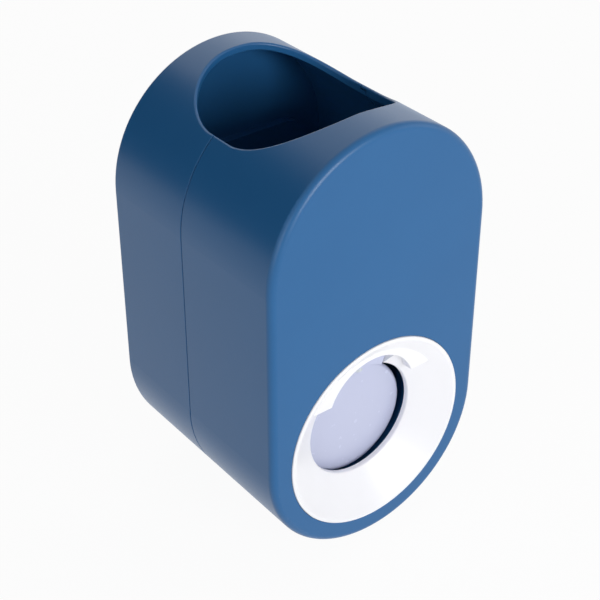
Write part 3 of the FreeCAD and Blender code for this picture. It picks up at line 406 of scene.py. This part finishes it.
class SubAssembly:
    """Pieces that ride on one body of the part."""

    body: ClassVar[str]
    nodes: ClassVar[dict[str, Finishes]] = {}

    def build(self) -> None:
        """Make the pieces that stand for CAD nodes; a sub-assembly without any keeps this."""

    def dress(self) -> None:
        """Give each kept CAD node its finish."""
        for name, finish in self.nodes.items():
            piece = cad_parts[name]
            piece.data.materials.clear()
            piece.data.materials.append(finish.value.material())
            LOG.info("%s: %s", name, finish.value.name)

    def add(self, name: str, mesh: bpy.types.Mesh, node: str, finish: Finishes) -> bpy.types.Object:
        """Place a mesh in millimetres as a piece that stands for a CAD node and rides on the body.

        Args:
            name: Name of the piece.
            mesh: Its mesh, in millimetres in the part's frame.
            node: CAD node that it stands for.
            finish: Its finish.

        Returns:
            The placed piece.
        """
        mesh.transform(Matrix.Scale(MM, 4))
        mesh.shade_smooth()
        mesh.set_sharp_from_angle(angle=SHARP_ANGLE)
        mesh.materials.append(finish.value.material())
        piece = bpy.data.objects.new(name, mesh)
        bpy.context.scene.collection.objects.link(piece)
        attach(piece, self.body)
        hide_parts(node)
        LOG.info("%s stands for %s", name, node)
        return piece


@dataclass
class WallMount(SubAssembly):
    """Hook plate and the foam pad that holds it to the wall."""

    body: ClassVar[str] = "wall_mount"
    nodes: ClassVar[dict[str, Finishes]] = {"wall_plate": Finishes.PLATE_PLASTIC}
    half_width: float = 25.0
    half_height: float = 20.0
    thick: float = 1.0
    corner: float = 5.0
    bulge: float = 0.12
    face_inset: float = 0.4
    corner_steps: int = 10
    layers: int = 6

    def outline(self, inset: float, depth: float) -> Ring:
        """Rounded rectangle across the pad.

        Args:
            inset: How far it lies inside the pad's full size.
            depth: Its depth.

        Returns:
            The points of the outline.
        """
        ring = []
        radius = self.corner - inset
        for i, (sx, sz) in enumerate(((1, 1), (-1, 1), (-1, -1), (1, -1))):
            for step in range(self.corner_steps + 1):
                angle = math.pi / 2 * (i + step / self.corner_steps)
                x = sx * (self.half_width - self.corner) + radius * math.cos(angle)
                z = sz * (self.half_height - self.corner) + radius * math.sin(angle)
                ring.append(Vector((x, -depth, z)))
        return ring

    def build(self) -> None:
        """Make the foam pad with sides that bulge between its two faces."""
        rings = [self.outline(self.bulge + self.face_inset, 0.0)]
        for layer in range(self.layers + 1):
            share = layer / self.layers
            inset = self.bulge * (2 * share - 1) ** 2
            rings.append(self.outline(inset, self.thick * share))
        rings.append(self.outline(self.bulge + self.face_inset, self.thick))
        pad = self.add("foam_pad", Loft(rings).mesh("foam_pad"), "adhesive_pad", Finishes.FOAM)


@dataclass
class FrontCover(SubAssembly):
    """Front shell with the dished ring of the brush port."""

    body: ClassVar[str] = "front_cover"
    nodes: ClassVar[dict[str, Finishes]] = {
        "front_shell": Finishes.SHELL,
        "port_ring": Finishes.WHITE_GLOSS,
    }


@dataclass
class Screws:
    """Four self-tapping pan-head screws with a cross recess."""

    # Outline of the pan head, as shares of its height and of its radius
    HEAD_SHAPE: ClassVar[Profile] = [
        (0.0, 0.96), (0.12, 1.0), (0.45, 1.0), (0.75, 0.9), (0.93, 0.72), (1.0, 0.5), (1.0, 0.2),
    ]

    spread_x: float = 22.0
    spread_z: float = 12.0
    head_r: float = 2.6
    head_high: float = 1.8
    shank_r: float = 1.3
    core_r: float = 0.95
    pitch: float = 1.1
    crest_slope: float = 3.2
    tip_share: float = 0.25
    tip_length: float = 1.6
    base_depth: float = 31.5
    end_depth: float = 20.5
    recess_deep: float = 1.0
    recess_overrun: float = 0.4
    recess_rim: tuple[float, float] = (1.575, 0.336)
    recess_foot: tuple[float, float] = (0.675, 0.196)
    turn_step: float = 0.37
    sides: int = 32
    rows_per_turn: int = 8

    def solid(self) -> Loft:
        """Model one screw without its recess.

        Returns:
            Head and threaded shank about the origin, with the head's top at the largest Z.
        """
        rings = []
        length = self.base_depth - self.end_depth
        rows = int(length / self.pitch * self.rows_per_turn)
        for row in range(rows + 1):
            high = -length + length * row / rows
            taper = min(1.0, self.tip_share + (high + length) / self.tip_length)
            ring = []
            for i in range(self.sides):
                phase = (high / self.pitch - i / self.sides) % 1.0
                crest = max(0.0, 1 - abs(phase - 0.5) * self.crest_slope)
                radius = (self.core_r + (self.shank_r - self.core_r) * crest) * taper
                ring.append(self.polar(radius, i, high))
            rings.append(ring)
        for share, wide in self.HEAD_SHAPE:
            high = self.head_high * share
            rings.append([self.polar(self.head_r * wide, i, high) for i in range(self.sides)])
        return Loft(rings)

    def polar(self, radius: float, step: int, high: float) -> Vector:
        """Point on a ring of the screw."""
        angle = 2 * math.pi * step / self.sides
        return Vector((radius * math.cos(angle), radius * math.sin(angle), high))

    def blade(self, turn: float) -> Loft:
        """Tapered blade that cuts one bar of the cross recess.

        Args:
            turn: Turn about the screw's axis, in radians.

        Returns:
            The blade, from the foot of the recess to just over the head.
        """
        foot_high, rim_high = self.head_high - self.recess_deep, self.head_high + self.recess_overrun
        spin = Matrix.Rotation(turn, 3, "Z")
        rings = []
        for high, (half, wall) in ((foot_high, self.recess_foot), (rim_high, self.recess_rim)):
            corners = ((half, wall), (-half, wall), (-half, -wall), (half, -wall))
            rings.append([spin @ Vector((x, y, high)) for x, y in corners])
        return Loft(rings)

    def mesh(self) -> bpy.types.Mesh:
        """Cut the recess into one screw and set four of them.

        Returns:
            All four screws as one mesh, heads to the front.
        """
        screw = bpy.data.objects.new("screw_blank", self.solid().mesh("screw_blank"))
        blades = [self.blade(turn).mesh("blade") for turn in (0.0, math.pi / 2)]
        cutters = [bpy.data.objects.new("blade", blade) for blade in blades]
        for item in (screw, *cutters):
            bpy.context.scene.collection.objects.link(item)
        for cutter in cutters:
            cut = screw.modifiers.new("recess", "BOOLEAN")
            cut.object = cutter
            cut.solver = "EXACT"
        graph = bpy.context.evaluated_depsgraph_get()
        one = bpy.data.meshes.new_from_object(screw.evaluated_get(graph))
        for item in (screw, *cutters):
            bpy.data.objects.remove(item)
        return joined("pump_screws", [(one, place) for place in self.places()])

    def places(self) -> list[Matrix]:
        """Work out where each screw stands.

        Returns:
            One place for each screw, each turned a little further than the one before.
        """
        face_front = Matrix.Rotation(math.pi / 2, 4, "X")
        spots = [(sx * self.spread_x, sz * self.spread_z) for sx in (1, -1) for sz in (1, -1)]
        result = []
        for i, (x, z) in enumerate(spots):
            spot = Matrix.Translation((x, -self.base_depth, PORT_AXIS_Z + z))
            result.append(spot @ face_front @ Matrix.Rotation(self.turn_step * i, 4, "Z"))
        return result


@dataclass
class ReturnSpring:
    """Compression spring with closed end turns, between the pump's seat and the push plate."""

    coil_r: float = 12.4
    wire_r: float = 0.5
    seat_depth: float = 48.0
    free_depth: float = 61.5
    open_turns: float = 3.5
    closed_turns: float = 0.75
    closed_pitch: float = 0.98
    steps_per_turn: int = 40
    sides: int = 14
    pressed: float = 8.0

    def rise(self, turn: float) -> float:
        """Work out the depth of the wire's middle.

        Args:
            turn: Turns from the end on the seat.

        Returns:
            The depth, with closed turns at both ends.
        """
        wire = 2 * self.wire_r
        total = self.open_turns + 2 * self.closed_turns
        low = self.seat_depth + self.wire_r
        flat = self.closed_turns * self.closed_pitch
        middle = self.free_depth - self.seat_depth - wire - 2 * flat
        if turn < self.closed_turns:
            return low + flat * turn / self.closed_turns
        if turn > total - self.closed_turns:
            last = turn - total + self.closed_turns
            return low + flat + middle + flat * last / self.closed_turns
        share = (turn - self.closed_turns) / self.open_turns
        return low + flat + middle * share

    def mesh(self) -> bpy.types.Mesh:
        """Wind the wire.

        Returns:
            The wire as a mesh, round along its whole length.
        """
        total = self.open_turns + 2 * self.closed_turns
        count = int(total * self.steps_per_turn)
        rings = []
        for step in range(count + 1):
            turn = total * step / count
            angle, middle = 2 * math.pi * turn, self.rise(turn)
            ring = []
            for i in range(self.sides):
                round_wire = 2 * math.pi * i / self.sides
                radius = self.coil_r + self.wire_r * math.cos(round_wire)
                depth = middle + self.wire_r * math.sin(round_wire)
                ring.append(Facing.FRONT.place(radius, angle, depth))
            rings.append(ring)
        return Loft(rings).mesh("return_spring_wire")


@dataclass
class Duckbill:
    """Silicone valve: a flange and a beak that narrows from round to a flat slit."""

    # Outline of the flange, as shares of its thickness and of its radius
    FLANGE_SHAPE: ClassVar[Profile] = [(0.0, 0.5), (0.0, 0.97), (0.12, 1.0), (0.88, 1.0), (1.0, 0.97)]

    flange_r: float
    flange: float
    neck_r: float
    length: float
    start: float
    facing: Facing
    onward: int
    tip_wide: float = 0.88
    tip_thin: float = 0.3
    beak_power: float = 1.2
    sides: int = 48
    steps: int = 12

    def mesh(self, name: str) -> bpy.types.Mesh:
        """Model the valve.

        Args:
            name: Name of the mesh.

        Returns:
            The valve, with its flange first.
        """
        rings = []
        for share, wide in self.FLANGE_SHAPE:
            rings.append(self.ring(self.flange_r * wide, self.flange_r * wide, self.flange * share))
        for step in range(self.steps + 1):
            share = step / self.steps
            ease = share ** self.beak_power
            wide = self.neck_r + (self.tip_wide - self.neck_r) * ease
            thin = self.neck_r + (self.tip_thin - self.neck_r) * ease
            rings.append(self.ring(wide, thin, self.flange + self.length * share))
        return Loft(rings).mesh(name)

    def ring(self, wide: float, thin: float, along: float) -> Ring:
        """Ellipse across the valve.

        Args:
            wide: Half of its width.
            thin: Half of its thickness.
            along: Distance from the back of the flange.

        Returns:
            The points of the ellipse.
        """
        ring = []
        for i in range(self.sides):
            angle = 2 * math.pi * i / self.sides
            x, y = wide * math.cos(angle), thin * math.sin(angle)
            place = self.start + self.onward * along
            ring.append(self.facing.place(math.hypot(x, y), math.atan2(y, x), place))
        return ring


@dataclass
class Housing(SubAssembly):
    """Rear shell with the pump's fixed pieces."""

    body: ClassVar[str] = "housing"
    nodes: ClassVar[dict[str, Finishes]] = {
        "rear_shell": Finishes.SHELL,
        "pump_body": Finishes.WHITE_SATIN,
        "barrel_bush": Finishes.WHITE_SATIN,
        "bush_gasket": Finishes.SILICONE,
        "stem_seal": Finishes.SILICONE,
        "valve_cage": Finishes.WHITE_SATIN,
        "socket_collar": Finishes.WHITE_SATIN,
    }
    screws: Screws = field(default_factory=Screws)
    spring: ReturnSpring = field(default_factory=ReturnSpring)
    inlet: Duckbill = field(default_factory=lambda: Duckbill(
        flange_r=6.0, flange=1.2, neck_r=3.0, length=5.5, start=20.7, facing=Facing.UP, onward=-1,
    ))
    socket_base: float = 23.5
    socket_flange_r: float = 9.6
    socket_flange_top: float = 25.7
    socket_r: float = 8.2
    socket_top: float = 40.0
    bore_r: float = 6.0
    bore_floor: float = 27.0
    throat_r: float = 4.0
    lip_bevel: float = 0.75
    groove_levels: tuple[float, ...] = (30.0, 32.6, 35.2)
    groove_deep: float = 0.28
    groove_rim: float = 0.7
    groove_floor: float = 0.35
    edge_round: float = 0.3

    def socket(self) -> Loft:
        """Soft socket for the tube's neck.

        Returns:
            The socket, with shallow grip grooves outside and a bevelled lip.
        """
        outer = [(self.socket_r, self.socket_flange_top)]
        floor_r = self.socket_r - self.groove_deep
        for level in self.groove_levels:
            outer += [
                (self.socket_r, level - self.groove_rim), (floor_r, level - self.groove_floor),
                (floor_r, level + self.groove_floor), (self.socket_r, level + self.groove_rim),
            ]
        profile = [(self.throat_r, self.socket_base), (self.socket_flange_r, self.socket_base)]
        profile += [(self.socket_flange_r, self.socket_flange_top)] + outer
        profile += [
            (self.socket_r, self.socket_top), (self.bore_r + self.lip_bevel, self.socket_top),
            (self.bore_r, self.socket_top - self.lip_bevel), (self.bore_r, self.bore_floor),
            (self.throat_r, self.bore_floor),
        ]
        return turned(eased(profile, self.edge_round), Facing.UP)

    def build(self) -> None:
        """Make the screws, the spring, the inlet valve and the tube socket."""
        self.add("cross_screws", self.screws.mesh(), "pump_screws", Finishes.ZINC_STEEL)
        wire = self.add("spring_wire", self.spring.mesh(), "return_spring", Finishes.SPRING_STEEL)
        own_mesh(wire)
        self.add("inlet_duckbill", self.inlet.mesh("inlet_duckbill"), "inlet_valve", Finishes.SILICONE)
        self.add("neck_socket", self.socket().mesh("neck_socket"), "tube_socket", Finishes.SILICONE)


@dataclass
class Pusher(SubAssembly):
    """Push plate with its hood, piston and outlet."""

    body: ClassVar[str] = "pusher"
    nodes: ClassVar[dict[str, Finishes]] = {
        # The push head's white is painted darker and bluer, as painted shade for the port's recess
        "push_head": Finishes.PAINTED_SHADE_WHITE,
        "piston": Finishes.WHITE_SATIN,
        "piston_seal": Finishes.SILICONE,
        "nozzle_tip": Finishes.SILICONE,
    }
    outlet: Duckbill = field(default_factory=lambda: Duckbill(
        flange_r=4.4, flange=1.2, neck_r=2.6, length=5.0, start=43.0, facing=Facing.FRONT, onward=1,
    ))

    def build(self) -> None:
        """Make the outlet valve in the piston."""
        beak = self.outlet.mesh("outlet_duckbill")
        self.add("outlet_duckbill", beak, "outlet_valve", Finishes.SILICONE)


@dataclass(frozen=True)
class Lamp:
    """A soft box: where it stands from the part, how large it is and how strong, in metres and watts."""

    name: str
    direction: tuple[float, float, float]
    distance: float
    side: float
    watts: float

    def light(self, target: Vector) -> None:
        """Hang the lamp and turn it to the target.

        Args:
            target: Point that it shines at, in metres.
        """
        data = bpy.data.lights.new(self.name, "AREA")
        data.shape = "SQUARE"
        data.size = self.side
        data.energy = self.watts
        lamp = bpy.data.objects.new(self.name, data)
        lamp.location = target + Vector(self.direction).normalized() * self.distance
        lamp.rotation_euler = (target - lamp.location).to_track_quat("-Z", "Y").to_euler()
        bpy.context.scene.collection.objects.link(lamp)


@dataclass
class Studio:
    """Pale floor, soft boxes, a white surround and the camera at the photograph's viewing angle.

    The floor's side, the card and the lamps are in metres, the other lengths in millimetres and the
    angles in radians.
    """

    floor_side: float = 8.0
    floor_colour: str = "#F4F4F4"
    floor_glow: float = 0.95
    floor_bounce: float = 0.26
    ambient: float = 0.16
    target: tuple[float, float, float] = (4.0327, -35.5, -20.3855)
    azimuth: float = -0.6623
    elevation: float = 0.591
    distance: float = 452.375
    focal_px: float = 1432.06
    lamps: tuple[Lamp, ...] = (
        Lamp("key_box", (0.05, -0.94, 0.27), distance=0.85, side=0.42, watts=4.15),
        Lamp("back_box", (0.5, 0.55, 0.67), distance=1.0, side=1.3, watts=3.6),
        Lamp("left_fill", (-0.9, -0.35, 0.25), distance=1.0, side=0.5, watts=1.6),
        Lamp("right_fill", (0.8, -0.5, 0.33), distance=1.0, side=0.5, watts=0.8),
    )
    card_direction: tuple[float, float, float] = (-0.5, 0.65, 0.3)
    card_distance: float = 0.9
    card_size: tuple[float, float] = (1.0, 0.85)
    card_colour: str = "#16181A"

    def aim(self) -> Vector:
        """Point that the camera looks at, in metres."""
        return Vector(self.target) * MM

    def camera(self) -> None:
        """Set the camera."""
        data = bpy.data.cameras.new("camera")
        data.sensor_width = SENSOR_MM
        data.lens = self.focal_px / IMAGE_SIDE_PX * SENSOR_MM
        data.clip_start = CLIP_START_M
        view = bpy.data.objects.new("camera", data)
        level = math.cos(self.elevation)
        across, ahead = math.sin(self.azimuth) * level, -math.cos(self.azimuth) * level
        back = Vector((across, ahead, math.sin(self.elevation)))
        view.location = self.aim() + back * self.distance * MM
        view.rotation_euler = (-back).to_track_quat("-Z", "Y").to_euler()
        bpy.context.scene.collection.objects.link(view)
        bpy.context.scene.camera = view

    def seen(self, tree: bpy.types.NodeTree) -> bpy.types.NodeSocket:
        """One for rays from the camera, from a mirror or through glass, else zero.

        Args:
            tree: Node tree of a material or of the world.

        Returns:
            Socket with the answer.
        """
        path = add_node(tree, "ShaderNodeLightPath").outputs
        answer = path["Is Camera Ray"]
        for kind in ("Is Glossy Ray", "Is Transmission Ray"):
            either = {0: answer, 1: path[kind]}
            answer = add_node(tree, "ShaderNodeMath", {"operation": "MAXIMUM"}, either).outputs[0]
        return answer

    def surround(self) -> None:
        """White surround where it is seen, and a soft even light elsewhere."""
        world = bpy.data.worlds.new("surround")
        world.use_nodes = True
        bpy.context.scene.world = world
        tree = world.node_tree
        tree.nodes.clear()
        even = {"Color": linear(WHITE), "Strength": self.ambient}
        soft = add_node(tree, "ShaderNodeBackground", even).outputs[0]
        full = {"Color": linear(WHITE), "Strength": 1.0}
        white = add_node(tree, "ShaderNodeBackground", full).outputs[0]
        sources = {0: self.seen(tree), 1: soft, 2: white}
        mixed = add_node(tree, "ShaderNodeMixShader", links=sources).outputs[0]
        add_node(tree, "ShaderNodeOutputWorld", links={"Surface": mixed})

    def floor(self) -> None:
        """Pale matt floor that shows nearly white and keeps a faint shadow."""
        material = bpy.data.materials.new("pale_matt_floor")
        material.use_nodes = True
        tree = material.node_tree
        tree.nodes.clear()
        matt = add_node(tree, "ShaderNodeBsdfDiffuse", {"Color": linear(self.floor_colour)}).outputs[0]
        light = {"Color": linear(WHITE), "Strength": 1.0}
        glow = add_node(tree, "ShaderNodeEmission", light).outputs[0]
        shares = {"To Min": self.floor_bounce, "To Max": self.floor_glow}
        share = add_node(tree, "ShaderNodeMapRange", shares, {"Value": self.seen(tree)}).outputs[0]
        mixed = add_node(tree, "ShaderNodeMixShader", links={0: share, 1: matt, 2: glow}).outputs[0]
        add_node(tree, "ShaderNodeOutputMaterial", links={"Surface": mixed})
        ground = self.sheet("floor", (self.floor_side, self.floor_side), material)
        low_corner = CAD_BOX[0]
        ground.location.z = low_corner[2]
        ground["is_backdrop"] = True

    def card(self) -> None:
        """Dark card behind the left shoulder, out of the camera's sight, for a darker arch."""
        material = bpy.data.materials.new("black_felt_card")
        material.use_nodes = True
        tree = material.node_tree
        tree.nodes.clear()
        felt = add_node(tree, "ShaderNodeBsdfDiffuse", {"Color": linear(self.card_colour)}).outputs[0]
        add_node(tree, "ShaderNodeOutputMaterial", links={"Surface": felt})
        card = self.sheet("dark_card", self.card_size, material)
        card.location = self.aim() + Vector(self.card_direction).normalized() * self.card_distance
        card.rotation_euler = (self.aim() - card.location).to_track_quat("-Z", "Y").to_euler()
        card.visible_camera = False
        card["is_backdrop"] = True

    def sheet(
        self, name: str, size: tuple[float, float], material: bpy.types.Material
    ) -> bpy.types.Object:
        """Make a flat sheet about the origin.

        Args:
            name: Name of the sheet.
            size: Width and height, in metres.
            material: Its material.

        Returns:
            The sheet, linked into the scene.
        """
        wide, high = size[0] / 2, size[1] / 2
        corners = [(-wide, -high, 0), (wide, -high, 0), (wide, high, 0), (-wide, high, 0)]
        mesh = bpy.data.meshes.new(name)
        mesh.from_pydata(corners, [], [(0, 1, 2, 3)])
        mesh.materials.append(material)
        sheet = bpy.data.objects.new(name, mesh)
        bpy.context.scene.collection.objects.link(sheet)
        return sheet

    def build(self) -> None:
        """Set up the whole studio."""
        self.camera()
        self.surround()
        self.floor()
        self.card()
        for lamp in self.lamps:
            lamp.light(self.aim())
        bpy.context.scene.view_settings.view_transform = "Standard"


def write_sizes() -> None:
    """Put the CAD model's box and the dressed model's box side by side as plain lists."""
    boxes = {"cad": CAD_BOX, "visual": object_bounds()}
    plain = {name: [list(map(float, corner)) for corner in box] for name, box in boxes.items()}


def main() -> None:
    """Build and dress each sub-assembly, then the studio."""
    logging.basicConfig(level=logging.INFO, format="%(name)s %(message)s")
    for part in (WallMount(), Housing(), FrontCover(), Pusher()):
        part.build()
        part.dress()
    Studio().build()
    write_sizes()


if __name__ == "__main__":
    main()
